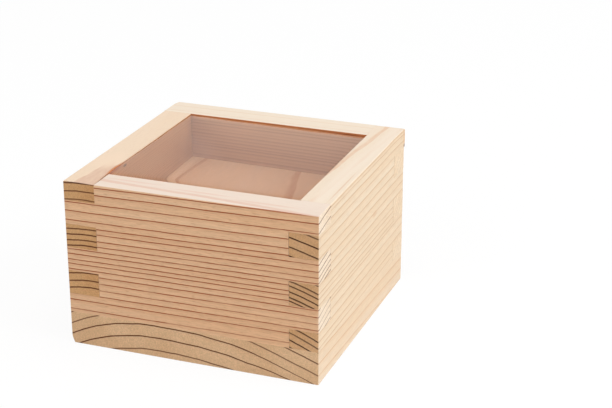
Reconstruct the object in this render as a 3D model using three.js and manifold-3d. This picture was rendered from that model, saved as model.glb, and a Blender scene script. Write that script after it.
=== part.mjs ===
// A square wooden cup for sake: a box of four side boards whose corners are
// locked by glued fingers, standing on a square bottom board.
// Millimetres, +Z up. The origin is the centre of the underside, and the
// front face is at -Y.

import * as THREE from 'three';
import { mergeVertices } from 'three/addons/utils/BufferGeometryUtils.js';
import Module from 'manifold-3d';

const wasm = await Module();
wasm.setup();

// Driving dimensions

const WIDTH = 85;              // outside, along X and along Y
const HEIGHT = 56;             // underside to rim
const WALL = 10.0;             // thickness of a side board
const BASE_THICKNESS = 11.2;   // thickness of the bottom board
const FINGER_PITCH = 8.0;      // height of a full finger
const TOP_FINGER = 6.3;        // height of the finger at the rim
const LEAST_FINGER = 3.0;      // a shorter remainder joins the finger above it
const GLUE_LINE = 0.1;         // clearance at every glued face
const CORNER_CHAMFER = 0.4;    // upright outer edges
const FOOT_CHAMFER = 0.7;      // outer edge of the underside
const RIM_CHAMFER = 0.35;      // outer and inner edges of the rim
const CUTTER_REACH = 5;        // how far a cutting solid runs past the wood

// Places worked out from them

const HALF = WIDTH / 2;
const INNER_HALF = HALF - WALL;
const BOARD_FOOT = BASE_THICKNESS + GLUE_LINE;
const NOTCH_ROOT = INNER_HALF - GLUE_LINE;

const WOOD = {
  side_front: { color: 0xd6ab82, roughness: 0.62, metalness: 0 },
  side_pale: { color: 0xe8cda9, roughness: 0.6, metalness: 0 },
  bottom: { color: 0xcca27a, roughness: 0.66, metalness: 0 },
};

// Solids and meshes

function toSolid(geometry) {
  const bare = geometry.clone();
  bare.deleteAttribute('normal');
  bare.deleteAttribute('uv');
  const welded = mergeVertices(bare, 1e-5);
  return new wasm.Manifold(new wasm.Mesh({
    numProp: 3,
    vertProperties: new Float32Array(welded.attributes.position.array),
    triVerts: new Uint32Array(welded.index.array),
  }));
}

function toGeometry(solid) {
  const cut = solid.getMesh();
  const geometry = new THREE.BufferGeometry();
  geometry.setAttribute('position', new THREE.BufferAttribute(cut.vertProperties, 3));
  geometry.setIndex(new THREE.BufferAttribute(cut.triVerts, 1));
  geometry.computeVertexNormals();
  return geometry;
}

function extrudeUp(outline, foot, top) {
  const shape = new THREE.Shape(outline.map(([x, y]) => new THREE.Vector2(x, y)));
  const geometry = new THREE.ExtrudeGeometry(shape, {
    depth: top - foot,
    bevelEnabled: false,
  });
  return geometry.translate(0, 0, foot);
}

// A square solid whose half width changes with height. Each step is
// [half width, z], from the foot to the top.
function squareSolid(steps) {
  const corner = Math.SQRT2;
  const [, foot] = steps[0];
  const [, top] = steps[steps.length - 1];
  const profile = [
    new THREE.Vector2(0, foot),
    ...steps.map(([half, z]) => new THREE.Vector2(half * corner, z)),
    new THREE.Vector2(0, top),
  ];
  const geometry = new THREE.LatheGeometry(profile, 4, Math.PI / 4);
  return toSolid(geometry.rotateX(Math.PI / 2));
}

// The outer form that all the boards are planed to together: a square block
// with its upright edges, its foot and its rim eased.
function outerBlock() {
  const edge = HALF - CORNER_CHAMFER;
  const outline = [
    [-edge, -HALF], [edge, -HALF], [HALF, -edge], [HALF, edge],
    [edge, HALF], [-edge, HALF], [-HALF, edge], [-HALF, -edge],
  ];
  const upright = toSolid(extrudeUp(outline, 0, HEIGHT));
  const eased = squareSolid([
    [HALF - FOOT_CHAMFER, 0],
    [HALF, FOOT_CHAMFER],
    [HALF, HEIGHT - RIM_CHAMFER],
    [HALF - RIM_CHAMFER, HEIGHT],
  ]);
  return upright.intersect(eased);
}

// The cut that eases the inner edge of the rim all round.
function rimCutter() {
  const rise = RIM_CHAMFER + CUTTER_REACH;
  return squareSolid([
    [INNER_HALF, HEIGHT - RIM_CHAMFER],
    [INNER_HALF + rise, HEIGHT + CUTTER_REACH],
  ]);
}

// Heights where one finger gives way to the next, from the rim down.
function fingerBounds() {
  const bounds = [];
  let z = HEIGHT - TOP_FINGER;
  while (z - BOARD_FOOT >= LEAST_FINGER) {
    bounds.push(z);
    z -= FINGER_PITCH;
  }
  return bounds;
}

// One end of a side board, from its foot to the rim, as [distance from the
// middle of the board, z]. Rows are counted from the rim, starting at 0, and
// this end has fingers in the rows of one parity and notches in the others.
function endOutline(fingerParity) {
  const bounds = fingerBounds();
  const reach = (row) => (row % 2 === fingerParity ? HALF : NOTCH_ROOT);
  const points = [[reach(bounds.length), BOARD_FOOT]];
  for (let row = bounds.length; row > 0; row -= 1) {
    const fingerBelow = row % 2 === fingerParity;
    const z = bounds[row - 1] + (fingerBelow ? -GLUE_LINE / 2 : GLUE_LINE / 2);
    points.push([reach(row), z], [reach(row - 1), z]);
  }
  points.push([reach(0), HEIGHT]);
  return points;
}

// The front board: fingers in the even rows at its right end, and in the odd
// rows at its left end. The other three side boards are the same board turned
// round the cup, so each end meets its neighbour's other end.
function sideBoard(block, rim) {
  const right = endOutline(0);
  const left = endOutline(1).map(([x, z]) => [-x, z]).reverse();
  const flat = extrudeUp([...right, ...left], 0, WALL);
  flat.rotateX(Math.PI / 2);
  flat.translate(0, -INNER_HALF, 0);
  return toGeometry(toSolid(flat).intersect(block).subtract(rim));
}

// The bottom board: the full square of the cup, under all four side boards.
function bottomBoard(block) {
  const square = [[-HALF, -HALF], [HALF, -HALF], [HALF, HALF], [-HALF, HALF]];
  const board = toSolid(extrudeUp(square, 0, BASE_THICKNESS));
  return toGeometry(board.intersect(block));
}

// The cup

const group = new THREE.Group();
const block = outerBlock();
const sideGeometry = sideBoard(block, rimCutter());

const SIDES = [
  ['front_board', WOOD.side_front],
  ['right_board', WOOD.side_pale],
  ['back_board', WOOD.side_front],
  ['left_board', WOOD.side_pale],
];

SIDES.forEach(([name, wood], quarter) => {
  const board = new THREE.Mesh(sideGeometry, new THREE.MeshStandardMaterial(wood));
  board.name = name;
  board.rotation.z = quarter * Math.PI / 2;
  group.add(board);
});

const base = new THREE.Mesh(bottomBoard(block), new THREE.MeshStandardMaterial(WOOD.bottom));
base.name = 'bottom_board';
group.add(base);

export default group;
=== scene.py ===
# %% [markdown]
# # A square wooden sake cup
#
# A masu is five planed boards of hinoki, the Japanese cypress: four side boards whose ends lock
# together with glued fingers, and a bottom board under them. The shape is simple, so nearly all
# that the eye enjoys is the wood: fine year rings, darker end grain in the fingers, and a soaked
# band inside, because this cup is filled with clear sake.
#
# The frame holds the joiner's solids at their real size. This script dresses them: it makes each
# board again with eased edges and solid wood, fills the cup, and lights it for its picture.

import math
from types import SimpleNamespace

import bmesh
import bpy
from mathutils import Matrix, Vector


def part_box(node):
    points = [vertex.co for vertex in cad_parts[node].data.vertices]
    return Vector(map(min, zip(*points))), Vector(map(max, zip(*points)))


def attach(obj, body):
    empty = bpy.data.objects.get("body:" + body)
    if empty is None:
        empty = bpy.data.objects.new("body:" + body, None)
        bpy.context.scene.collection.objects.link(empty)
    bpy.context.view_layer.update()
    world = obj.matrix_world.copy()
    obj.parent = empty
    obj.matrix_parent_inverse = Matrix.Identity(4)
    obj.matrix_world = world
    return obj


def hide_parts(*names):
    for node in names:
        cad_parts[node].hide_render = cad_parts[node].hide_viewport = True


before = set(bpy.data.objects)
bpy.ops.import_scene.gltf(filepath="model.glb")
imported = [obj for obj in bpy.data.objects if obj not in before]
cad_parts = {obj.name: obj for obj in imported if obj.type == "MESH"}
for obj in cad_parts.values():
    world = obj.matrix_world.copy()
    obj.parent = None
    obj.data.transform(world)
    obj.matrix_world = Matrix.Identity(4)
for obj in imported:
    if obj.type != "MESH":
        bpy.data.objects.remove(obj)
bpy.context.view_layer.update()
print("nodes:", sorted(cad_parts))

# %% [markdown]
# ## Sizes
#
# Blender works in metres and a joiner in millimetres, so one factor turns one into the other. The
# outer sizes are read from the frame, so the dressing fits the solids whatever their size. The
# sizes that a box can't tell, such as the height of a finger, are written here.
#
# The drawing gives all four walls one thickness, but no two planed boards are quite alike. In the
# photograph three of them are a little thicker than drawn, and the extra wood is all on the inside.

# %% Sizes of the cup
MM = 0.001
front_low, front_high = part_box("front_board")
base_low, base_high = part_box("bottom_board")
HALF = front_high.x
RIM = front_high.z
FOOT = front_low.z
WALL = front_high.y - front_low.y
FLOOR = base_high.z

TOP_FINGER = 6.3 * MM
FINGER_PITCH = 8.0 * MM
LEAST_FINGER = 3.0 * MM
GLUE_LINE = 0.1 * MM
BASE_SEAM = 0.01 * MM
FINGER_ROWS = 1 + math.ceil((RIM - FOOT - TOP_FINGER - LEAST_FINGER) / FINGER_PITCH)

EXTRA_WOOD = {"front": 0.5 * MM, "right": 0.0, "back": 0.8 * MM, "left": 0.2 * MM}
THICKNESS = {side: WALL + extra for side, extra in EXTRA_WOOD.items()}
BOWL_X = (THICKNESS["left"] - HALF, HALF - THICKNESS["right"])
BOWL_Y = (THICKNESS["front"] - HALF, HALF - THICKNESS["back"])
print("outside", round(2 * HALF / MM, 2), "mm")
print("inside", round((BOWL_X[1] - BOWL_X[0]) / MM, 2), "x", round((BOWL_Y[1] - BOWL_Y[0]) / MM, 2), "mm")
print("finger rows:", FINGER_ROWS)

# %% [markdown]
# ## Helpers for colours and nodes
#
# Colours are picked as sRGB hex values, the way a colour picker shows them, but shaders work in
# linear light, so one function turns one into the other. The other helper adds a node with its
# settings and links, so that a long tree still reads from top to bottom like a recipe. It gives
# back the node's first output as a wire, which the next cell explains.


# %% Colour and node helpers
def linear(hex_colour):
    """An sRGB hex colour as linear red, green, blue and alpha."""
    channels = [int(hex_colour[i:i + 2], 16) / 255 for i in (1, 3, 5)]
    return tuple(
        c / 12.92 if c <= 0.04045 else ((c + 0.055) / 1.055) ** 2.4 for c in channels
    ) + (1.0,)


def add(tree, kind, inputs=None, **settings):
    """Adds a node. Each input is a wire, a list of wires, a hex colour or a plain value."""
    node = tree.nodes.new(kind)
    for key, value in settings.items():
        setattr(node, key, value)
    for key, value in (inputs or {}).items():
        if isinstance(value, (Wire, list)):
            for wire in value if isinstance(value, list) else [value]:
                tree.links.new(wire.socket, node.inputs[key])
        elif isinstance(value, str) and value.startswith("#"):
            node.inputs[key].default_value = linear(value)
        else:
            node.inputs[key].default_value = value
    return Wire(node.outputs[0]) if len(node.outputs) else None


print("mid grey in linear light:", round(linear("#808080")[0], 3))

# %% [markdown]
# Both the joints and the year rings are sums: half a length minus a wall, the root of two squares.
# A sum drawn with one node for each plus and times is hard to read back, so a small class lets it
# be written as a sum. A wire is the value that leaves a node, and Python's own signs are taught to
# add the Math node that they stand for. The node's other outputs are reached by their names.


# %% Sums on wires
def signed(operation, turned_round=False):
    """What a sign does: it joins the wire and the other values by a Math operation."""
    def joined(wire, *others):
        values = (*others, wire) if turned_round else (wire, *others)
        return add(wire.tree, "ShaderNodeMath", dict(enumerate(values)), operation=operation)
    return joined


class Wire:
    """A value on its way through a node tree."""

    def __init__(self, socket):
        self.socket = socket
        self.node = socket.node
        self.tree = socket.id_data

    def __getitem__(self, label):
        return Wire(self.node.outputs[label])

    def parts(self):
        """The x, y and z of a vector."""
        split = add(self.tree, "ShaderNodeSeparateXYZ", {0: self})
        return [split[axis] for axis in "XYZ"]

    __add__ = signed("ADD")
    __sub__ = signed("SUBTRACT")
    __rsub__ = signed("SUBTRACT", turned_round=True)
    __mul__ = signed("MULTIPLY")
    __truediv__ = signed("DIVIDE")
    __mod__ = signed("MODULO")
    __lt__ = signed("LESS_THAN")
    __gt__ = signed("GREATER_THAN")
    __abs__ = signed("ABSOLUTE")
    __round__ = signed("ROUND")
    at_least = signed("MAXIMUM")
    at_most = signed("MINIMUM")
    sign = signed("SIGN")
    whole = signed("FLOOR")
    fraction = signed("FRACT")
    root = signed("SQRT")
    sine = signed("SINE")
    exponent = signed("EXPONENT")


print("signs that a wire knows: + - * / % < >")

# %% [markdown]
# ## What both Geometry Nodes trees share
#
# Two shapes of this cup follow a rule: the side board with its fingers and the pool of sake. Both
# are made the same way, from a flat grid whose points are moved to their places. The sheet is then
# thickened, its far side is pressed flat, and the two sides are merged into one closed body. Each
# tree has named inputs for its sizes and ends by turning instances into real mesh and giving it its
# material, because what leaves Blender is plain mesh.

# %% Parts of a tree
HAIR = 0.01 * MM
WELD = 0.001 * MM


def start_tree(name, lengths, counts, stuff, result):
    """An empty Geometry Nodes tree with named inputs, and the wires that bring them."""
    tree = bpy.data.node_groups.new(name, "GeometryNodeTree")
    tree.is_modifier = True
    kinds = {**dict.fromkeys(lengths, "NodeSocketFloat"), **dict.fromkeys(counts, "NodeSocketInt"),
             stuff: "NodeSocketMaterial"}
    for label, kind in kinds.items():
        tree.interface.new_socket(name=label, in_out="INPUT", socket_type=kind)
    tree.interface.new_socket(name=result, in_out="OUTPUT", socket_type="NodeSocketGeometry")
    return tree, add(tree, "NodeGroupInput")


def moved(tree, shape, spot, chosen=True):
    """The shape with its chosen points moved to the spot."""
    place = add(tree, "ShaderNodeCombineXYZ", dict(enumerate(spot)))
    return add(tree, "GeometryNodeSetPosition", {
        "Geometry": shape, "Selection": chosen, "Position": place})


def thicken(tree, sheet, axis, amount, far_side):
    """A closed body from a sheet. Its far side is flat, at far_side along the axis."""
    offset = add(tree, "ShaderNodeCombineXYZ", {axis: amount})
    body = add(tree, "GeometryNodeExtrudeMesh", {
        "Mesh": sheet, "Offset": offset, "Offset Scale": 1.0, "Individual": False}, mode="FACES")
    spot = add(tree, "GeometryNodeInputPosition").parts()
    spot[axis] = far_side
    flat = moved(tree, body["Mesh"], spot, body["Top"])
    turned = add(tree, "GeometryNodeFlipFaces", {0: flat})
    both = add(tree, "GeometryNodeJoinGeometry", {0: [sheet, turned]})
    return add(tree, "GeometryNodeMergeByDistance", {"Geometry": both, "Distance": WELD})


def dress(tree, shape, stuff):
    """Ends a tree: real mesh with its material."""
    real = add(tree, "GeometryNodeRealizeInstances", {0: shape})
    dressed = add(tree, "GeometryNodeSetMaterial", {"Geometry": real, "Material": stuff})
    add(tree, "NodeGroupOutput", {0: dressed})


print("points closer than", WELD / MM, "mm are merged")

# %% [markdown]
# A modifier's inputs are set by the socket's identifier, because names may repeat. The result is
# turned into a plain mesh, so that nothing later depends on the tree.


# %% Run a tree
def grow(tree, name, values):
    """Runs a Geometry Nodes tree with the given inputs and returns the plain mesh as an object."""
    seed = bpy.data.objects.new(name + "_seed", bpy.data.meshes.new(name + "_seed"))
    bpy.context.scene.collection.objects.link(seed)
    modifier = seed.modifiers.new("tree", "NODES")
    modifier.node_group = tree
    for item in tree.interface.items_tree:
        if item.in_out == "INPUT" and item.name in values:
            modifier[item.identifier] = values[item.name]
    seed.update_tag()
    depsgraph = bpy.context.evaluated_depsgraph_get()
    mesh = bpy.data.meshes.new_from_object(seed.evaluated_get(depsgraph), depsgraph=depsgraph)
    mesh.name = name
    seed.modifiers.clear()
    bpy.data.objects.remove(seed)
    piece = bpy.data.objects.new(name, mesh)
    bpy.context.scene.collection.objects.link(piece)
    return piece


print("each tree is run by", grow.__name__)

# %% [markdown]
# ## Making a side board with Geometry Nodes
#
# Every side board follows one rule: a plank with fingers at both ends, in the even rows at one end
# and in the odd rows at the other, so that four equal boards turned round the cup lock into each
# other. Cutting notches out of a box would do it too, but each cut leaves a mess of faces behind. A
# grid is cleaner: three cells wide and one row for each finger, with the cells that are notches
# deleted.

# %% Grid of fingers
BOARD_LENGTHS = (
    "Half length", "Thickness", "Left neighbour", "Right neighbour", "Foot", "Rim", "Top finger",
    "Finger pitch", "Glue line", "Rim easing", "Left easing", "Right easing", "Proud tip", "Slim tip",
    "Thick tip")


def finger_grid(tree, rows):
    """A flat grid one unit to a cell, three cells wide, without the cells that are notches."""
    sheet = add(tree, "GeometryNodeMeshGrid", {
        "Size X": 3.0, "Size Y": rows, "Vertices X": 4, "Vertices Y": rows + 1.0})
    across, up, _ = add(tree, "GeometryNodeInputPosition").parts()
    row = round(rows * 0.5 - 0.5 - up)
    odd_row = row % 2.0
    right_notch = (across > 0.5) * odd_row
    left_notch = (across < -0.5) * (1.0 - odd_row)
    return add(tree, "GeometryNodeDeleteGeometry", {
        "Geometry": sheet, "Selection": right_notch + left_notch}, domain="FACE", mode="ALL")


print("a board has", len(BOARD_LENGTHS), "lengths to set")

# %% [markdown]
# Each point of the grid then moves to its real place on the outer face. The points at the tips go
# to the end of the board and the others to the root of the fingers, a glue line short of the
# neighbour's wood. The bounds between the rows are counted down from the rim, and each one is moved
# by a share of the glue line, so that a finger is a little slimmer than the notch that takes it. A
# glued joint shows as that dark hair line. At the top left joint the boards touch and it is thinner.

# %% Places of the fingers
TIGHT_JOINT = 0.7
FINGER_PLAY = 0.2


def finger_spots(tree, given):
    """Where each point of the grid belongs on the outer face of the board."""
    half, rim, rows = given["Half length"], given["Rim"], given["Rows"]
    across, up, _ = add(tree, "GeometryNodeInputPosition").parts()
    side = across.sign()
    is_right = side > 0.0
    is_tip = abs(across) > 1.0
    bound = round(rows * 0.5 - up)
    at_top = bound < 1.5

    left, right = given["Left neighbour"], given["Right neighbour"]
    tight = (1.0 - is_right) * at_top
    gap = given["Glue line"] * (1.0 - tight * TIGHT_JOINT)
    root = half - (left + is_right * (right - left)) - gap
    reach = root + is_tip * (half - root)

    odd_bound = bound % 2.0 * 2.0 - 1.0
    shift = side * odd_bound * (given["Glue line"] * FINGER_PLAY)
    level = rim - given["Top finger"] - (bound - 1.0) * given["Finger pitch"] + shift
    level = level + (bound < 0.5) * (rim - level)
    level = level + (bound > rows - 0.5) * (given["Foot"] - level)

    bent_out = is_right * at_top * is_tip * given["Proud tip"]
    return side * reach, 0.0 - half - bent_out, level


print("a finger has", round(2 * FINGER_PLAY * GLUE_LINE / MM, 3), "mm of play above and below")

# %% [markdown]
# The boards were sanded after they were glued, so only the edges on the outside of the finished cup
# are eased, and those round the bowl at the rim. The tree marks them with a bevel weight, which a
# Bevel modifier reads afterwards. An edge is known by its middle: where that lies tells whether it
# is an upright corner, part of the rim or hidden in a joint.


# %% Edges to ease
def easing_of_edges(tree, given):
    """The bevel weight of each edge."""
    half, bowl_face = given["Half length"], given["Thickness"] - given["Half length"]
    ends = add(tree, "GeometryNodeInputMeshEdgeVertices")
    first, second = ends["Position 1"].parts(), ends["Position 2"].parts()
    x, y, z = ((one + other) * 0.5 for one, other in zip(first, second))
    near_end = abs(x) > half - HAIR
    near_face = y < HAIR - half
    upright = abs(first[2] - second[2]) > HAIR
    left, right = given["Left easing"], given["Right easing"]
    corner = near_end * near_face * upright * (left + (x > 0.0) * (right - left))
    round_bowl = (y > bowl_face - HAIR) * (abs(x) < half * 0.5)
    seen = near_end.at_least(near_face).at_least(round_bowl)
    rim_edge = (z > given["Rim"] - HAIR) * seen * given["Rim easing"]
    return corner.at_least(rim_edge)


def finger_board_tree():
    """A plank with fingers at both ends, standing at its side of the cup."""
    tree, given = start_tree("Finger_board", BOARD_LENGTHS, ("Rows", "Quarter turns"), "Wood", "Board")
    half, thick = given["Half length"], given["Thickness"]
    face = moved(tree, finger_grid(tree, given["Rows"]), finger_spots(tree, given))
    along = add(tree, "GeometryNodeInputPosition").parts()[0]
    slimmer = (along < HAIR - half) * given["Slim tip"] - (along > half - HAIR) * given["Thick tip"]
    plank = thicken(tree, face, 1, thick, thick - half - slimmer)
    marked = add(tree, "GeometryNodeStoreNamedAttribute", {
        "Geometry": plank, "Name": "bevel_weight_edge", "Value": easing_of_edges(tree, given)},
        data_type="FLOAT", domain="EDGE")
    turn = add(tree, "ShaderNodeCombineXYZ", {2: given["Quarter turns"] * (math.pi / 2)})
    dress(tree, add(tree, "GeometryNodeTransform", {"Geometry": marked, "Rotation": turn}), given["Wood"])
    return tree


BOARD_TREE = finger_board_tree()
print("finger board tree:", len(BOARD_TREE.nodes), "nodes")

# %% [markdown]
# ## The wood
#
# Hinoki is a pale softwood with a silky surface. Planed and sanded but not varnished, it is matt,
# with thin reddish-brown year lines along the grain. Where a board is cut across, the open ends of
# the cells drink the light: the end grain is browner, and its lines are almost black.
#
# A tree grows as nested tubes round its pith, so the pattern is made in space and not painted on a
# face. The distance from the pith tells how old the wood is, a growth curve turns that distance
# into years, and the end of each year is one dark line. Every face of a board then cuts the same
# tubes, and the lines run on round its corners as they do in real wood. Each board has its own
# pith, because each was sawn from another place in the log.

# %% Colours of the wood
HEART = {"early": "#e0b892", "warm": "#dfb38a", "halo": "#d3a47c", "late": "#96491c",
         # the heartwood's pale end tones are a painted highlight: its end grain shows on the lit right
         # face
         "end": "#f0dec8", "end_deep": "#ead2b6", "end_line": "#a07c60",
         # rim and rim_line: paler top faces, partly sanded wood and partly a painted highlight
         "rim": "#f7ece1", "rim_line": "#e8c8b4", "soaked": "#e6cfc0", "fibre": 0.62}
SAP = {"early": "#ecd8be", "warm": "#ead2b4", "halo": "#e8cdac", "late": "#dcb48c",
       "end": "#c99c6d", "end_deep": "#bf8e5e", "end_line": "#54260e",
       # rim and rim_line: paler top faces, partly sanded wood and partly a painted highlight
       "rim": "#f5e4d0", "rim_line": "#e8c4a4", "soaked": "#e6cdbd", "fibre": 0.36}
WET_LINE = "#9c5c38"
# the band under the rim: a tide mark, darkened further as painted shade on the inner wall
TIDE_MARK_AND_SHADE = "#eec2a0"
print("two kinds of wood, each in", len(HEART) - 1, "tones")

# %% [markdown]
# A log is described in its board's own frame, in mm: x along the board, y from the outer face
# inwards and z up. Its lines are the heights of the ends of its years, read from the photographed
# face at the x and y called read_at. Where a board hides its lines, they were made up to run on
# evenly. The other entries say how the board stands and how its log differs from straight tubes:
#
# - quarter is how many quarter turns the board stands from the front.
# - pith is where the heart of the tree was, tilt how much the grain climbs along the board, and fan
#   how much more it climbs higher up.
# - twist is how much more it climbs for each mm inwards, and the y at which there is none of that.
# - rim_swing lets the lines on the rim run slightly across it: how much for each mm along, and the x
#   at which there is none of that.
# - sinking is how far the full_ring, the highest one that is seen whole, has sunk at each y, for
#   rings that aren't round. crowding is how much closer the rings under it come, and from which y.
# - bold says which years have stronger lines, and end_width how wide the lines are in end grain.
# - Inside the bowl, calm is how far the wet wood has lost its changes of tone, wet_line and
#   wet_width how strongly and how widely its lines show, and damp how strong the darker band under
#   the rim is, which is partly a tide mark and partly painted shade.
# - marks are single stains and pale places, and some patches of painted light and shade: a centre, a
#   size each way, a colour and a strength.

# %% The logs of the front and right boards
FACE = -HALF / MM
LOGS = {
    "front_board": {
        "quarter": 0, "pith": (-7.4, -116.5), "tilt": 0.005, "fan": 0.00018,
        "read_at": (0.0, FACE), "damp": 0.8, "end_width": 0.46,
        "lines": [6.2, 9.6, 12.8, 16.15, 18.4, 20.5, 22.8, 25.05, 27.0, 28.85, 30.35, 32.25, 33.9,
                  35.65, 37.6, 39.9, 41.75, 43.95, 47.05, 49.95, 53.1, 55.55, 58.5, 61.5],
        "bold": [(0.0, 1.0), (9.0, 1.12), (17.0, 1.12), (18.5, 1.35), (21.0, 1.6), (23.0, 1.5)],
        "tones": {**HEART, "end_line": "#86583a"},
        "marks": [((-22.0, -35.4, 56.0), (13.0, 0.8, 0.4), "#e8c2ac", 0.5),
                  ((2.0, -36.9, 56.0), (14.0, 0.8, 0.4), "#e8c2ac", 0.5),
                  ((24.0, -38.6, 56.0), (14.0, 0.9, 0.4), "#e8c2ac", 0.5),
                  ((-16.0, FACE, 55.2), (19.0, 0.6, 0.3), "#a4623a", 0.55),
                  ((26.0, FACE, 55.65), (22.0, 0.6, 0.35), "#b46c42", 0.6),
                  # painted highlight: paler end grain of this board where it shows on the lit right face
                  ((-FACE, -37.0, 22.0), (1.5, 8.0, 7.0), "#efdcc4", 0.4)],
    },
    "right_board": {
        "quarter": 1, "pith": (-13.2, -43.6), "tilt": 0.008, "fan": 0.0,
        "read_at": (FACE, -37.5), "damp": 0.8, "end_width": 0.64, "rim_swing": (0.0107, 54.5),
        "lines": [2.0, 4.7, 7.4, 9.9, 12.45, 14.95, 17.15, 20.05, 23.05, 26.05, 27.3, 29.2, 31.2, 32.8,
                  35.45, 38.35, 41.15, 44.15, 47.25, 50.25, 53.0, 55.35, 56.6, 59.5, 62.4],
        "tones": {**SAP, "late": "#d4b088", "end": "#cda37a", "end_deep": "#c4976a",
                  "end_line": "#38120e"},
        "marks": [((42.6, FACE, 53.2), (2.4, 3.0, 4.0), "#dca668", 0.8),
                  # dark at the step under the proud fingertip: partly the glue gap, partly painted shadow
                  # under the tip
                  ((42.6, FACE, 50.2), (2.2, 2.2, 1.1), "#7a3c14", 1.0),
                  ((11.0, FACE, 36.6), (3.2, 2.0, 1.6), "#dcb48c", 0.5),
                  ((-18.0, -38.0, 56.0), (52.0, 3.3, 0.5), "#f5e4d0", 0.85),
                  ((28.0, -40.4, 56.0), (44.0, 3.2, 0.5), "#f5e4d0", 0.85),
                  ((-17.0, -40.9, 56.0), (18.0, 0.4, 0.5), "#e2bc9a", 0.6)],
    },
}
print("logs:", ", ".join(LOGS))

# %% The logs of the back and left boards
LOGS["back_board"] = {
    "quarter": 2, "pith": (-117.0, -60.0), "tilt": 0.003, "fan": 0.0,
    "read_at": (0.0, THICKNESS["back"] / MM + FACE),
    "damp": 1.0, "calm": 0.9, "wet_line": 0.26, "wet_width": 1.6,
    "lines": [1.2, 4.6, 8.0, 11.5, 15.0, 18.2, 21.8, 25.0, 27.6, 30.8, 34.2, 37.6, 41.2, 44.3,
              48.0, 51.1, 54.6, 58.1, 61.5],
    "tones": {**HEART, "early": "#e8ceac", "warm": "#e6caa6", "halo": "#e0bd96", "late": "#b07c52",
              # pale end tones: a painted highlight, as this end grain shows on the lit right face
              "end": "#efdabf", "end_deep": "#ead0b0", "end_line": "#e0c5a6",
              "rim": "#f8ecdc", "rim_line": "#eed8be", "soaked": "#ead4c6"},
    # painted light: the first mark lifts the shade low on the wall by the left corner
    "marks": [((34.0, -31.7, 16.0), (16.0, 0.8, 26.0), "#fbeee2", 0.45),
              # painted reflection: a light band just under the sake's surface, where the surface mirrors
              # the room
              ((0.0, -31.7, 54.1), (80.0, 0.8, 2.0), "#fcdcba", 0.9),
              ((-25.0, -31.7, 54.9), (12.0, 0.8, 0.75), "#b87a52", 0.85)],
}
LOGS["left_board"] = {
    "quarter": 3, "pith": (-33.4, -20.0), "tilt": 0.009, "fan": 0.0,
    "read_at": (-FACE, -37.4), "calm": 0.5,
    "lines": [2.5, 5.1, 7.6, 10.2, 12.7, 15.3, 17.0, 20.6, 23.0, 25.5, 27.6, 29.6, 31.5, 33.4,
              35.0, 36.8, 38.8, 40.7, 42.6, 44.8, 47.5, 50.6, 53.3, 56.02, 58.7, 61.5],
    "tones": {**SAP, "late": "#b5785a", "halo": "#e0bf9e", "end_line": "#54281a",
              "rim": "#f4dabf", "rim_line": "#e0bca2", "soaked": "#d8b797"},
    "marks": [((42.6, -37.2, 55.9), (0.6, 7.0, 0.42), "#4a2616", 0.85),
              ((20.5, -37.0, 56.0), (11.0, 6.0, 0.5), "#f4dabf", 0.9),
              ((19.8, -32.3, 52.1), (1.8, 0.8, 1.5), "#3c2a22", 0.9),
              ((27.0, -32.3, 55.2), (8.0, 1.2, 2.6), "#c8702e", 0.9),
              ((5.0, -32.3, 54.0), (60.0, 0.8, 20.0), "#c08a5e", 0.2),
              # painted light: paler low on the wall by the back corner, lifting the shade there
              ((-27.0, -32.3, 20.0), (9.0, 0.8, 34.0), "#f4e0d0", 0.5)],
}
print("logs:", ", ".join(LOGS))

# %% [markdown]
# The bottom board lies flat with its end grain to the front. It was sawn far from the pith, so its
# rings are wide shallow arcs, which sink faster at one side than at the other.

# %% The log of the bottom board
LOGS["bottom_board"] = {
    "quarter": 1, "pith": (11.0, -200.0), "tilt": -0.022, "fan": 0.0, "twist": (0.0002, 28.0),
    "read_at": (FACE, 11.0), "full_ring": 4, "crowding": (0.033, -18.5),
    "end_width": 0.6, "wet_line": 0.1,
    "lines": [-6.8, -2.1, 2.5, 6.95, 11.15, 14.7, 18.5, 22.2, 25.8, 29.4],
    "sinking": [(-42.5, 11.3), (-37.0, 9.25), (-31.0, 7.05), (-25.0, 4.9), (-19.0, 3.2), (-13.0, 1.9),
                (-7.0, 1.05), (-1.0, 0.35), (5.0, 0.1), (11.0, 0.0), (17.0, 0.15), (21.0, 0.7),
                (25.0, 1.35), (29.0, 2.25), (33.0, 3.55), (37.0, 5.1), (42.5, 7.8)],
    "tones": {**SAP, "early": "#e9d4bc", "halo": "#e5c8a6", "late": "#d9b088", "end": "#d8b48e",
              "end_deep": "#d1ab84", "end_line": "#562812", "soaked": "#dbc0ac"},
    # a paler strip along the foot of the left wall, then painted shade over the right part of the floor,
    # which the right wall shades
    "marks": [((0.0, 30.3, 11.2), (60.0, 1.8, 0.6), "#f8e6cc", 0.5),
              ((0.0, -26.0, 11.2), (70.0, 22.0, 0.6), "#c89a72", 0.22)],
}
print("logs:", ", ".join(LOGS))

# %% [markdown]
# ## Three tools for the wood
#
# Blotches are noise whose size is given in mm along, inwards and up, so that a cloud can be long
# along the grain and narrow across it. A curve through measured pairs turns one value into another.
# Painting lays one colour over the other, the way a finisher does: each coat has a share, a colour
# and, where it darkens what is under it, the word MULTIPLY.
#
# The cells of cypress are only 0.03 mm wide, too fine for the picture, so fibres, flecks and pores
# are drawn as coarse as they need to be to show.

# %% Blotches, curves and coats
BLOTCH = {"wander": (60.0, 14.0, 14.0), "ripple": (9.0, 3.0, 3.0), "patch": (22.0, 5.0, 5.0),
          "break": (3.5, 1.0, 1.0), "cloud": (70.0, 9.0, 9.0), "end_cloud": (30.0, 14.0, 14.0),
          "fibre": (5.0, 0.42, 0.42), "fleck": (2.6, 0.34, 0.34), "pore": (1.2, 0.4, 0.4)}
SMOOTH = {"interpolation_type": "SMOOTHSTEP"}


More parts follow.
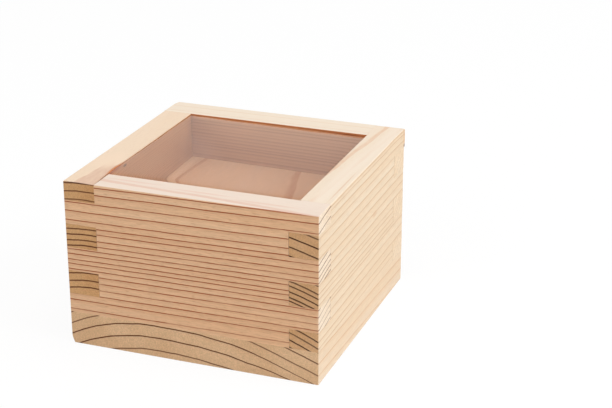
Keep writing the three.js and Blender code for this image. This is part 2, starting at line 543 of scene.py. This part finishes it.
def blotches(space, kind, detail=2.0, roughness=0.5):
    """Soft random blotches between 0 and 1, of the size of their kind."""
    scale = tuple(1 / length for length in BLOTCH[kind])
    scaled = add(space.tree, "ShaderNodeMapping", {"Vector": space, "Scale": scale})
    return add(space.tree, "ShaderNodeTexNoise", {
        "Vector": scaled, "Scale": 1.0, "Detail": detail, "Roughness": roughness})


def through(value, pairs):
    """A smooth curve through pairs of value and result."""
    (low_in, low_out), (high_in, high_out) = pairs[0], pairs[-1]
    share = (value - low_in) / (high_in - low_in)
    curve = add(value.tree, "ShaderNodeFloatCurve", {"Value": share})
    points = curve.node.mapping.curves[0].points
    while len(points) < len(pairs):
        points.new(0.5, 0.5)
    for point, (goes_in, comes_out) in zip(points, pairs):
        point.location = ((goes_in - low_in) / (high_in - low_in),
                          (comes_out - low_out) / (high_out - low_out))
    curve.node.mapping.update()
    return curve * (high_out - low_out) + low_out


def paint(tree, colour, coats):
    """Lays coats over a colour. Each is a share, a colour and sometimes how it blends."""
    for share, tint, *blend in coats:
        coat = add(tree, "ShaderNodeMix", {0: share, 6: colour, 7: tint},
                   data_type="RGBA", blend_type=blend[0] if blend else "MIX")
        colour = coat[2]
    return colour


print("kinds of blotches:", ", ".join(BLOTCH))

# %% [markdown]
# ## Year rings in space
#
# The grain of a real board wanders a little, so a slow noise and a quicker one lift and lower it
# before the distance from the pith is taken. The functions of the wood are given the log and a
# bundle called at, which holds what is known about the point that is being coloured.

# %% Distance from the pith
SLOW_WANDER = 0.7
QUICK_RIPPLE = 0.25


def distance_from_pith(log, at):
    """How far the wood at a point is from the pith, in mm, with the bends of its log."""
    pith_y, pith_z = log["pith"]
    wander = (blotches(at.space, "wander") - 0.5) * SLOW_WANDER
    ripple = (blotches(at.space, "ripple") - 0.5) * QUICK_RIPPLE
    lift = at.x * (at.z * log["fan"] + log["tilt"]) + wander + ripple
    if "twist" in log:
        twist, still_y = log["twist"]
        lift = lift + (at.x - log["read_at"][0]) * (at.y - still_y) * twist
    if "rim_swing" in log:
        swing, still_x = log["rim_swing"]
        lift = lift + at.rim * (at.x - still_x) * swing
    out = at.y - pith_y
    if "sinking" in log:
        full = log["lines"][log["full_ring"]] - pith_z
        out = through(at.y, [(y, math.copysign(math.sqrt(drop * (2 * full - drop)), y - pith_y))
                             for y, drop in log["sinking"]])
    rise = at.z - pith_z - lift
    return (out * out + rise * rise).root()


print("the grain wanders by up to", SLOW_WANDER / 2, "mm")

# %% [markdown]
# The growth curve is read a second time a little further out. The difference is how fast the years
# pass there, and with it the way to the next line can be told in mm, so a line has the same width in
# a lean year as in a fat one. Each year also draws a lot, which makes its line stronger or weaker.

# %% Years
READ_AHEAD = 0.3
SLOWEST_PACE = 0.1


def year_rings(log, at):
    """The year at a point, the way to the end of that year in mm, and the lot of that year."""
    read_x, read_y = log["read_at"]
    pith_y, pith_z = log["pith"]
    radii = [math.hypot(read_y - pith_y, height - pith_z - read_x * (log["tilt"] + log["fan"] * height))
             for height in log["lines"]]
    ages = [(radius, count) for count, radius in enumerate(radii)]
    distance = distance_from_pith(log, at)
    if "crowding" in log:
        share, from_y = log["crowding"]
        closer = (from_y - at.y).at_least(0.0) * share
        distance = distance + (distance - radii[log["full_ring"]]).at_most(0.0) * closer
    year = through(distance, ages)
    pace = (through(distance + READ_AHEAD, ages) - year) / READ_AHEAD
    to_line = (1.0 - year.fraction()) / pace.at_least(SLOWEST_PACE)
    lot = add(year.tree, "ShaderNodeTexWhiteNoise", {"W": year.whole()}, noise_dimensions="1D")
    return year, to_line, lot["Value"]


print("years counted:", {name: len(log["lines"]) for name, log in LOGS.items()})

# %% [markdown]
# ## Long grain
#
# A plane slides along the cells and leaves them closed, so the long grain is pale and silky: broad
# clouds, fine fibres, small flecks, and lines that fade and break a little as they go. Before each
# line the wood darkens for about two millimetres, which is the slow growth of summer. The rim is
# long grain too. Its top faces are painted paler: partly because they were sanded, and partly as a
# painted highlight where the light from above falls on them.

# %% Long grain
LINE_STARTS = 0.46
LINE_FULL = 0.2
LINE_ENDS = 0.05
HALO_STARTS = 2.0
HALO_SHARE = 0.6
FLECK_SHARE = 0.22
# share of the paler rim tone: partly sanding, partly a painted highlight on the top faces
RIM_SANDING_AND_HIGHLIGHT = 0.7


def year_line(to_line, starts, full):
    """The dark line at the end of a year. It comes softly and stops sharply."""
    coming = add(to_line.tree, "ShaderNodeMapRange", {
        "Value": to_line, "From Min": starts, "From Max": full}, **SMOOTH)
    going = add(to_line.tree, "ShaderNodeMapRange", {
        "Value": to_line, "From Min": 0.0, "From Max": LINE_ENDS}, **SMOOTH)
    return coming * going


def long_grain(tree, log, at):
    """Planed hinoki: silky, with fine reddish lines."""
    tones = log["tones"]
    line = at.line * (at.lot * 0.3 + 0.72)
    line = line * (blotches(at.space, "patch") * 1.3 + 0.35) * (blotches(at.space, "break") * 1.5 + 0.3)
    if "bold" in log:
        line = line * through(at.year, log["bold"])
    cloud = add(tree, "ShaderNodeMapRange", {
        "Value": blotches(at.space, "cloud"), "From Min": 0.35, "From Max": 0.65}, **SMOOTH)
    halo = add(tree, "ShaderNodeMapRange", {
        "Value": at.to_line, "From Min": HALO_STARTS, "From Max": LINE_FULL}, **SMOOTH)
    fleck = add(tree, "ShaderNodeMapRange", {
        "Value": blotches(at.space, "fleck", 1.0), "From Min": 0.58, "From Max": 0.7}, **SMOOTH)
    line_tone = paint(tree, tones["late"], [(at.rim, tones["rim_line"])])
    return paint(tree, tones["early"], [
        (cloud, tones["warm"]),
        (halo * HALO_SHARE + at.lot * 0.4, tones["halo"]),
        (1.0, (at.fibre - 0.5) * tones["fibre"] + 1.0, "MULTIPLY"),
        # the upward-facing rim is paler: sanding, together with a painted highlight
        (at.rim * RIM_SANDING_AND_HIGHLIGHT, tones["rim"]),
        (line, line_tone),
        (fleck * FLECK_SHARE, line_tone)])


print("a year line is", LINE_STARTS, "mm wide on the long grain")

# %% [markdown]
# ## End grain
#
# A saw cuts the cells open, so the end grain drinks more light. It is dull and full of pores, and its
# lines are sharp. The front and back boards are given pale end grain with faint lines: a painted
# highlight, because their ends show on the brightly lit right face.

# %% End grain
END_LINE_WIDTH = 0.62


def end_grain(tree, log, at):
    """Sawn and sanded end grain: thirsty, so it is darker and dull, except where its tones are painted
    pale as a highlight.
    """
    tones = log["tones"]
    width = log.get("end_width", END_LINE_WIDTH)
    line = year_line(at.to_line, width, width / 2)
    cloud = add(tree, "ShaderNodeMapRange", {
        "Value": blotches(at.space, "end_cloud"), "From Min": 0.3, "From Max": 0.7}, **SMOOTH)
    pores = blotches(at.space, "pore", 2.0, 0.7)
    return paint(tree, tones["end"], [
        (cloud, tones["end_deep"]),
        (1.0, pores * 0.76 + 0.62, "MULTIPLY"),
        (line * (at.lot * 0.2 + 0.8), tones["end_line"])])


print("a year line is about", END_LINE_WIDTH, "mm wide in the end grain")

# %% [markdown]
# ## Marks and wet wood
#
# Wood that has drunk is darker and redder, and its own tones draw together. The inside of the bowl
# is found by its place and not by painting: a point belongs to it if it is no further out than the
# inner faces. In the last millimetre under the rim, where the sake laps at the wood, it is darker
# still: partly a real tide mark, and partly painted shade on the inner wall under the rim. Single
# marks are soft balls of colour, squeezed to their size.

# %% Marks and wet wood
BOWL_SKIN = 0.06 * MM
WET_LINE_SHARE = 0.16
TIDE_STARTS = 1.15
TIDE_FULL = 0.9
SOFT_CORE = 0.3


def inside_bowl(corner):
    """1 on the faces round the bowl and 0 elsewhere. corner is the place in metres."""
    x, y, _ = corner.parts()
    past_x, past_y = (abs(value - (low + high) / 2) - (high - low) / 2
                      for value, (low, high) in ((x, BOWL_X), (y, BOWL_Y)))
    return past_x.at_least(past_y) < BOWL_SKIN


def mark_coats(tree, log, space):
    """A coat for each single mark of the board."""
    coats = []
    for centre, size, tint, strength in log["marks"]:
        away = add(tree, "ShaderNodeVectorMath", {0: space, 1: centre}, operation="SUBTRACT")
        squeezed = add(tree, "ShaderNodeVectorMath", {0: away, 1: size}, operation="DIVIDE")
        far_off = add(tree, "ShaderNodeVectorMath", {0: squeezed}, operation="LENGTH")
        here = add(tree, "ShaderNodeMapRange", {
            "Value": far_off["Value"], "From Min": 1.0, "From Max": SOFT_CORE}, **SMOOTH)
        coats.append((here * strength, tint))
    return coats


def wet_coats(tree, log, at):
    """How the soaked wood calms down and which of its lines still show."""
    line = at.line
    if "wet_width" in log:
        width = log["wet_width"]
        broad = add(tree, "ShaderNodeMapRange", {
            "Value": at.to_line, "From Min": width, "From Max": SOFT_CORE * width}, **SMOOTH)
        line = broad * (at.lot * 0.9 + 0.35)
    return [(at.inside * log.get("calm", 0.0), log["tones"]["warm"]),
            (at.inside * line * log.get("wet_line", WET_LINE_SHARE), WET_LINE)]


def soaked_coats(tree, log, at):
    """The colour that water gives the wood, and the darker band under the rim: partly a tide mark, partly
    painted shade.
    """
    tide = add(tree, "ShaderNodeMapRange", {
        "Value": at.z, "From Min": RIM / MM - TIDE_STARTS, "From Max": RIM / MM - TIDE_FULL}, **SMOOTH)
    return [(at.inside, log["tones"]["soaked"], "MULTIPLY"),
            (at.inside * tide * log.get("damp", 0.0), TIDE_MARK_AND_SHADE, "MULTIPLY")]


print("marks:", {name: len(log["marks"]) for name, log in LOGS.items()})

# %% [markdown]
# ## The whole material
#
# All that is left is to put the parts together. The board's own frame is the world turned back by
# the board's quarter turns and counted in mm. Where the surface faces along the board it is end
# grain, and where it faces up at the top it is rim. The shader is plain: hinoki has an ordinary
# refractive index for wood, matt with a soft gloss along the fibres, and the wet inside is smoother.

# %% Wood material
RIM_BAND = (0.4, 0.2)
FIBRE_RELIEF = 0.05 * MM


def look_round(tree, log):
    """What is known about a point of the board: its place, its faces and its year."""
    place = add(tree, "ShaderNodeTexCoord")
    turn = (0.0, 0.0, -log["quarter"] * math.pi / 2)
    at = SimpleNamespace(inside=inside_bowl(place["Object"]))
    at.space = add(tree, "ShaderNodeMapping", {
        "Vector": place["Object"], "Scale": (1 / MM, 1 / MM, 1 / MM), "Rotation": turn})
    at.x, at.y, at.z = at.space.parts()
    facing = add(tree, "ShaderNodeMapping", {"Vector": place["Normal"], "Rotation": turn})
    faces_x, _, faces_up = facing.parts()
    at.end = add(tree, "ShaderNodeMapRange", {
        "Value": abs(faces_x), "From Min": 0.55, "From Max": 0.85}, **SMOOTH)
    flat = add(tree, "ShaderNodeMapRange", {"Value": faces_up, "From Min": 0.5, "From Max": 0.9}, **SMOOTH)
    low, high = (RIM / MM - depth for depth in RIM_BAND)
    top = add(tree, "ShaderNodeMapRange", {"Value": at.z, "From Min": low, "From Max": high}, **SMOOTH)
    at.rim = flat * top
    at.year, at.to_line, at.lot = year_rings(log, at)
    at.line = year_line(at.to_line, LINE_STARTS, LINE_FULL)
    at.fibre = blotches(at.space, "fibre", 4.0, 0.7)
    return at


def hinoki(name, log):
    """Solid cypress, planed and sanded: matt, silky along the grain and thirsty across it."""
    material = bpy.data.materials.new(name)
    material.use_nodes = True
    tree = material.node_tree
    tree.nodes.clear()
    at = look_round(tree, log)
    colour = paint(tree, long_grain(tree, log, at), [
        (at.end, end_grain(tree, log, at)), *wet_coats(tree, log, at),
        *mark_coats(tree, log, at.space), *soaked_coats(tree, log, at)])
    bump = add(tree, "ShaderNodeBump", {
        "Height": at.fibre * 0.4, "Strength": 0.3 - at.inside * 0.25, "Distance": FIBRE_RELIEF})
    shader = add(tree, "ShaderNodeBsdfPrincipled", {
        "Base Color": colour, "Roughness": at.fibre * 0.12 + 0.5 - at.inside * 0.22,
        "Normal": bump, "IOR": 1.5, "Specular IOR Level": 0.4 - at.end * 0.3})
    add(tree, "ShaderNodeOutputMaterial", {0: shader})
    return material


WOODS = {name: hinoki("Planed_hinoki_" + name, log) for name, log in LOGS.items()}
print("nodes in each wood:", {name: len(wood.node_tree.nodes) for name, wood in WOODS.items()})

# %% [markdown]
# ## Easing and knocks
#
# A joiner eases every edge that a hand or a lip meets. A soft edge also catches a thin line of
# light, which is how the eye knows that it was sanded. A Bevel modifier does that. Boards that are
# eased alike share one width, that of their roundest edge, and the weight of an edge is its share of
# it. A used cup has been knocked now and then, so one corner of the foot and one of the rim at the
# back are cut off by a slanted plane.

# %% Easing and knocks
CORNER_EASING = 0.4 * MM
WORN_CORNER = 1.3 * MM
RIM_EASING = 0.35 * MM
SHARP_FROM = math.radians(25)
EASING_SEGMENTS = 3
KNOCKS = {"bottom_board": ((-HALF, -HALF, 2.9 * MM), (-0.93, -0.15, -0.33)),
          "back_board": ((-HALF, HALF - 3.2 * MM, RIM), (-0.88, 0.2, 0.38))}


def knock(work, node_name):
    """Cuts a corner off, as a knock against something hard does."""
    place, direction = KNOCKS[node_name]
    cut = bmesh.ops.bisect_plane(
        work, geom=work.verts[:] + work.edges[:] + work.faces[:], clear_outer=True,
        plane_co=place, plane_no=Vector(direction).normalized())
    rim_of_cut = [item for item in cut["geom_cut"] if isinstance(item, bmesh.types.BMEdge)]
    bmesh.ops.edgeloop_fill(work, edges=rim_of_cut)
    bmesh.ops.recalc_face_normals(work, faces=work.faces[:])


def ease(piece, width):
    """Rounds the edges that carry a bevel weight, and keeps the others sharp."""
    for polygon in piece.data.polygons:
        polygon.use_smooth = True
    piece.data.set_sharp_from_angle(angle=SHARP_FROM)
    rounding = piece.modifiers.new("Eased edges", "BEVEL")
    rounding.limit_method = "WEIGHT"
    rounding.width = width
    rounding.segments = EASING_SEGMENTS
    rounding.harden_normals = True


print("knocked boards:", ", ".join(KNOCKS))

# %% [markdown]
# ## The side boards
#
# Four runs of the same tree, a quarter turn apart, make the side boards. Handwork leaves small
# differences, and they are what makes the joints look made and not drawn. The last finger of the
# right board stands a little proud at the back, its fingers at the front are slimmer than its wall,
# those of the left board are thicker, and the corner between the back and left boards is worn. Where
# a neighbour's fingers are slimmer or thicker, the notches of the front board follow them.

# %% Make the side boards
PROUD_TIP = 0.3 * MM
SLIM_TIP = 0.42 * MM
THICK_TIP = 0.6 * MM
OWN_FIT = {
    "front_board": {"Right neighbour": THICKNESS["right"] - SLIM_TIP,
                    "Left neighbour": THICKNESS["left"] + THICK_TIP},
    "right_board": {"Slim tip": SLIM_TIP, "Proud tip": PROUD_TIP},
    "back_board": {"Right easing": 1.0},
    "left_board": {"Left easing": 1.0, "Thick tip": THICK_TIP},
}

for node_name, fit in OWN_FIT.items():
    quarter = LOGS[node_name]["quarter"]
    walls = list(THICKNESS.values())
    own, right, _, left = walls[quarter:] + walls[:quarter]
    board = grow(BOARD_TREE, node_name.replace("_board", "_plank"), {
        "Half length": HALF, "Thickness": own, "Right neighbour": right, "Left neighbour": left,
        "Foot": FLOOR + BASE_SEAM, "Rim": RIM, "Top finger": TOP_FINGER,
        "Finger pitch": FINGER_PITCH, "Glue line": GLUE_LINE, "Rows": FINGER_ROWS,
        "Rim easing": RIM_EASING / WORN_CORNER, "Left easing": CORNER_EASING / WORN_CORNER,
        "Right easing": CORNER_EASING / WORN_CORNER, "Quarter turns": quarter,
        "Wood": WOODS[node_name], **fit})
    if node_name in KNOCKS:
        work = bmesh.new()
        work.from_mesh(board.data)
        knock(work, node_name)
        work.to_mesh(board.data)
        work.free()
    ease(board, WORN_CORNER)
    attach(board, "root")
    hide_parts(node_name)
    print(board.name, len(board.data.polygons), "faces,", len(board.data.materials), "material")

# %% [markdown]
# ## The bottom board
#
# The bottom board is a square slab, so a cube stretched to its box is all it needs. Its foot is
# eased all round so that the cup doesn't chip when it is set down, and so are its upright corners.
# Its upper edges stay sharp, because the side boards are glued on there.

# %% Make the bottom board
FOOT_EASING = 0.28 * MM


def slab(name, low, high, wood):
    """A square board whose foot and upright edges are marked for easing."""
    work = bmesh.new()
    bmesh.ops.create_cube(work, size=1.0)
    for vertex in work.verts:
        for axis in range(3):
            vertex.co[axis] = high[axis] if vertex.co[axis] > 0 else low[axis]
    knock(work, "bottom_board")
    weights = work.edges.layers.float.new("bevel_weight_edge")
    for edge in work.edges:
        lowest = max(vertex.co.z for vertex in edge.verts) < low.z + 10 * HAIR
        upright = (edge.verts[0].co - edge.verts[1].co).to_2d().length < 10 * HAIR
        edge[weights] = FOOT_EASING / CORNER_EASING if lowest else float(upright)
    mesh = bpy.data.meshes.new(name)
    work.to_mesh(mesh)
    work.free()
    mesh.materials.append(wood)
    piece = bpy.data.objects.new(name, mesh)
    bpy.context.scene.collection.objects.link(piece)
    return piece


bottom = slab("bottom_plank", base_low, base_high, WOODS["bottom_board"])
ease(bottom, CORNER_EASING)
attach(bottom, "root")
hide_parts("bottom_board")
print(bottom.name, len(bottom.data.polygons), "faces,", len(bottom.data.materials), "material")

# %% [markdown]
# ## The sake
#
# Clear sake fills the cup almost to the rim. It is water with a little alcohol and sugar, so its
# refractive index is close to 1.35. In a cup this full the surface isn't flat. The liquid hangs on to
# the edge of the wood and rounds down to it in the last millimetre, more at the near side, and the
# cup doesn't stand quite level. That rounding is what draws the bright and dark lines round the
# pool. It falls off from the wall by an exponential, which is a rule again, so the surface is a grid
# whose points bunch up towards the walls, and a slow noise keeps the wetted line from being ruled.
# The body of the liquid reaches a hair into the wood, so that no film of air is left between them to
# act as a mirror.

# %% Sake tree
SAKE_LENGTHS = ("Half width", "Half depth", "Middle x", "Middle y", "Level", "Lean x", "Lean y", "Floor",
                "Brim", "Wall drop", "Wall reach", "Near drop", "Near reach", "Unevenness")
UNEVEN_SPAN = 9.0 * MM


def sake_tree():
    """A square pool that rounds down at its walls, closed down to the floor of the cup."""
    tree, given = start_tree("Sake_pool", SAKE_LENGTHS, ("Cells",), "Liquid", "Pool")
    half_x, half_y = given["Half width"], given["Half depth"]
    count = given["Cells"] + 1.0
    sheet = add(tree, "GeometryNodeMeshGrid", {
        "Size X": math.pi, "Size Y": math.pi, "Vertices X": count, "Vertices Y": count})
    turn_x, turn_y, _ = add(tree, "GeometryNodeInputPosition").parts()
    across = turn_x.sine() * half_x
    along = turn_y.sine() * half_y

    from_wall = (half_x - abs(across)).at_most(half_y - along)
    wall_drop = (from_wall / given["Wall reach"] * -1.0).exponent() * given["Wall drop"]
    near_drop = ((half_y + along) / given["Near reach"] * -1.0).exponent() * given["Near drop"]
    flat_place = add(tree, "ShaderNodeCombineXYZ", {0: across, 1: along})
    ripple = add(tree, "ShaderNodeTexNoise", {
        "Vector": flat_place, "Scale": 1 / UNEVEN_SPAN, "Detail": 2.0})
    uneven = (ripple - 0.5) * given["Unevenness"] + 1.0
    lean = across / half_x * given["Lean x"] + along / half_y * given["Lean y"]
    height = (given["Level"] - wall_drop * uneven - lean).at_most(given["Brim"]) - near_drop

    spot = (across + given["Middle x"], along + given["Middle y"], height)
    surface = moved(tree, sheet, spot)
    pool = thicken(tree, surface, 2, given["Floor"] - given["Level"], given["Floor"])
    dress(tree, add(tree, "GeometryNodeSetShadeSmooth", {0: pool}), given["Liquid"])
    return tree


SAKE_TREE = sake_tree()
print("sake tree:", len(SAKE_TREE.nodes), "nodes")

# %% [markdown]
# The liquid itself is a clear dielectric with a perfectly smooth surface. Lamps shine through it
# without casting a shadow, because the picture needs no caustics.


# %% Pour the sake
def clear_sake():
    """Clear still liquid: it bends the view of the bowl and mirrors the bright room."""
    material = bpy.data.materials.new("Clear_sake")
    material.use_nodes = True
    tree = material.node_tree
    tree.nodes.clear()
    liquid = add(tree, "ShaderNodeBsdfPrincipled", {
        "Base Color": "#ffffff", "Roughness": 0.0, "IOR": 1.352, "Transmission Weight": 1.0})
    clear = add(tree, "ShaderNodeBsdfTransparent")
    path = add(tree, "ShaderNodeLightPath")
    mixed = add(tree, "ShaderNodeMixShader", {0: path["Is Shadow Ray"], 1: liquid, 2: clear})
    add(tree, "ShaderNodeOutputMaterial", {0: mixed})
    return material


SOAK = 0.12 * MM
sake = grow(SAKE_TREE, "sake_fill", {
    "Half width": (BOWL_X[1] - BOWL_X[0]) / 2 + SOAK, "Half depth": (BOWL_Y[1] - BOWL_Y[0]) / 2 + SOAK,
    "Middle x": sum(BOWL_X) / 2, "Middle y": sum(BOWL_Y) / 2, "Floor": FLOOR - SOAK,
    "Level": RIM - 0.4 * MM, "Brim": RIM - 0.14 * MM, "Lean x": 0.2 * MM, "Lean y": 0.15 * MM,
    "Wall drop": 0.12 * MM, "Wall reach": 1.0 * MM, "Near drop": 0.55 * MM, "Near reach": 1.2 * MM,
    "Unevenness": 4.0, "Cells": 110, "Liquid": clear_sake()})
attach(sake, "root")
print("sake:", len(sake.data.polygons), "faces")

# %% [markdown]
# ## The white room
#
# The cup stands on white paper under soft light that comes mostly from the right and from above, so
# the rim and the right face are bright and the front is a tone darker. Paper lit well enough to look
# white would bleach the wood too. So most of the white that the camera sees, and that the sake
# mirrors and bends, is a glow of its own. The small share of real paper under it keeps a faint
# shadow of the cup, and light on its way to the wood meets only the real paper.

# %% Paper floor
PAPER_GLOW = 1.02
GLOW_SHARE = 0.88
PAPER_REACH = 4.0


def seen_share(tree):
    """1 for rays of the camera, of mirrors and of clear liquid, and 0 for the light on the wood."""
    path = add(tree, "ShaderNodeLightPath")
    return path["Is Camera Ray"].at_least(path["Is Glossy Ray"]).at_least(path["Is Transmission Ray"])


def white_paper():
    """Matt white paper that the camera, and anything glossy, sees as a white room."""
    material = bpy.data.materials.new("Matt_white_paper")
    material.use_nodes = True
    tree = material.node_tree
    tree.nodes.clear()
    paper = add(tree, "ShaderNodeBsdfDiffuse", {"Color": "#f4f4f4"})
    glow = add(tree, "ShaderNodeEmission", {"Strength": PAPER_GLOW})
    mixed = add(tree, "ShaderNodeMixShader", {0: seen_share(tree) * GLOW_SHARE, 1: paper, 2: glow})
    add(tree, "ShaderNodeOutputMaterial", {0: mixed})
    return material


corners = [(-PAPER_REACH, -PAPER_REACH, 0), (PAPER_REACH, -PAPER_REACH, 0),
           (PAPER_REACH, PAPER_REACH, 0), (-PAPER_REACH, PAPER_REACH, 0)]
paper_mesh = bpy.data.meshes.new("paper_floor")
paper_mesh.from_pydata(corners, [], [(0, 1, 2, 3)])
paper_mesh.materials.append(white_paper())
paper = bpy.data.objects.new("paper_floor", paper_mesh)
bpy.context.scene.collection.objects.link(paper)
print("paper:", 2 * PAPER_REACH, "m square")

# %% Lamps and world
LAMPS = {"key_right": {"place": (1.35, 0.1, 0.8), "size": 1.2, "power": 11.3},
         "overhead": {"place": (0.3, -0.2, 1.6), "size": 1.0, "power": 8.6},
         "front_fill": {"place": (-0.7, -1.5, 0.9), "size": 1.4, "power": 8.0}}
WORLD_LEVEL = 0.42

for name, box in LAMPS.items():
    lamp = bpy.data.lights.new(name, "AREA")
    lamp.shape = "SQUARE"
    lamp.size = box["size"]
    lamp.energy = box["power"]
    holder = bpy.data.objects.new(name, lamp)
    holder.location = box["place"]
    aim = Vector((0, 0, RIM / 2)) - Vector(box["place"])
    holder.rotation_euler = aim.to_track_quat("-Z", "Y").to_euler()
    bpy.context.scene.collection.objects.link(holder)

world = bpy.data.worlds.new("White_room")
world.use_nodes = True
bpy.context.scene.world = world
room = world.node_tree
sky = room.nodes["Background"]
sky.inputs["Color"].default_value = linear("#ffffff")
level = seen_share(room) * (1.0 - WORLD_LEVEL) + WORLD_LEVEL
room.links.new(level.socket, sky.inputs["Strength"])
print("lamps:", ", ".join(LAMPS))

# %% [markdown]
# ## The camera
#
# The camera stands where the photographer's did. Its height, its distance and its long lens were
# worked out from the corners of the cup.

# %% Camera
CAMERA_PLACE = (187.6 * MM, -442.2 * MM, 229.4 * MM)
CAMERA_AZIMUTH = math.radians(20.47)
CAMERA_DROP = math.radians(21.72)
camera_data = bpy.data.cameras.new("camera")
camera_data.sensor_width = 36.0
camera_data.lens = 91.98
camera_data.clip_start = 0.01
camera = bpy.data.objects.new("camera", camera_data)
camera.location = CAMERA_PLACE
look = Vector((-math.sin(CAMERA_AZIMUTH) * math.cos(CAMERA_DROP),
               math.cos(CAMERA_AZIMUTH) * math.cos(CAMERA_DROP), -math.sin(CAMERA_DROP)))
camera.rotation_euler = look.to_track_quat("-Z", "Y").to_euler()
bpy.context.scene.collection.objects.link(camera)
bpy.context.scene.camera = camera
bpy.context.scene.view_settings.view_transform = "Standard"
print("camera is", round(camera.location.length / MM), "mm from the foot of the cup")
